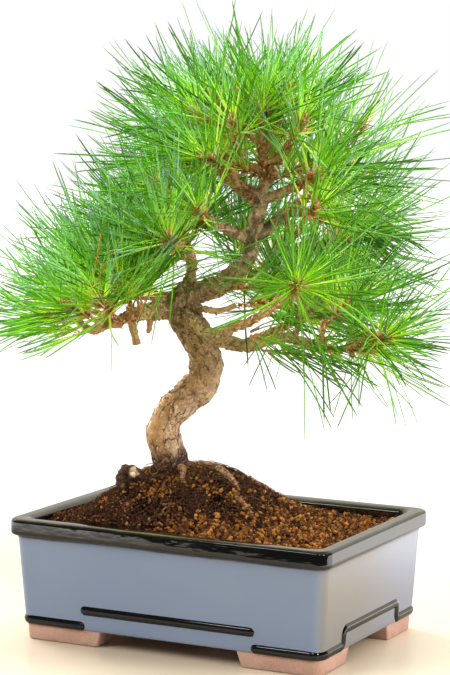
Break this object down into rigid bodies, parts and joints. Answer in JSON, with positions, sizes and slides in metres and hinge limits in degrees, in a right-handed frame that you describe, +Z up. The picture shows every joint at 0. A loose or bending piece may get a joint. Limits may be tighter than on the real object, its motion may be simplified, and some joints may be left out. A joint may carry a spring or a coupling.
{
  "type": "japanese black pine bonsai",
  "caption": "Curved black pine bonsai with long paired needles, in a rectangular glazed pot on corner feet with heaped granular soil.",
  "frame": {"origin": "centre of the bounding box of the tree and pot together, on the plane that the pot's feet stand on", "axes": "+X along the pot's long side to the right, +Y to the back, +Z up the trunk; the pot's front looks along -Y"},
  "size_m": [0.3684, 0.338, 0.4535],
  "materials": {
    "glaze": "glossy black glaze, with bare pinkish clay on the feet",
    "screen": "matte black plastic mesh",
    "soil": "damp orange and dark brown clay granules with root fibres",
    "bark": "rough grey-tan bark in flat plates between dark cracks",
    "needles": "fresh green needles with a soft sheen, orange-brown shoots and buds"
  },
  "bodies": {
    "root": {"pot": "glaze", "drain_screen_left": "screen", "drain_screen_right": "screen", "soil": "soil", "tree": "bark", "spray_01": "needles", "spray_02": "needles", "spray_03": "needles", "spray_04": "needles", "spray_05": "needles", "spray_06": "needles", "spray_07": "needles", "spray_08": "needles", "spray_09": "needles", "spray_10": "needles", "spray_11": "needles", "spray_12": "needles", "spray_13": "needles", "spray_14": "needles", "spray_15": "needles", "spray_16": "needles", "spray_17": "needles", "spray_18": "needles", "spray_19": "needles", "spray_20": "needles", "spray_21": "needles", "spray_22": "needles", "spray_23": "needles", "spray_24": "needles", "spray_25": "needles", "spray_26": "needles", "spray_27": "needles", "spray_28": "needles", "spray_29": "needles", "spray_30": "needles", "spray_31": "needles", "spray_32": "needles", "spray_33": "needles", "spray_34": "needles", "spray_35": "needles", "spray_36": "needles", "spray_37": "needles", "spray_38": "needles", "spray_39": "needles", "spray_40": "needles", "spray_41": "needles", "spray_42": "needles", "spray_43": "needles", "spray_44": "needles", "spray_45": "needles", "spray_46": "needles", "spray_47": "needles", "spray_48": "needles", "spray_49": "needles", "spray_50": "needles", "spray_51": "needles", "spray_52": "needles", "spray_53": "needles", "spray_54": "needles"}
  },
  "joints": []
}
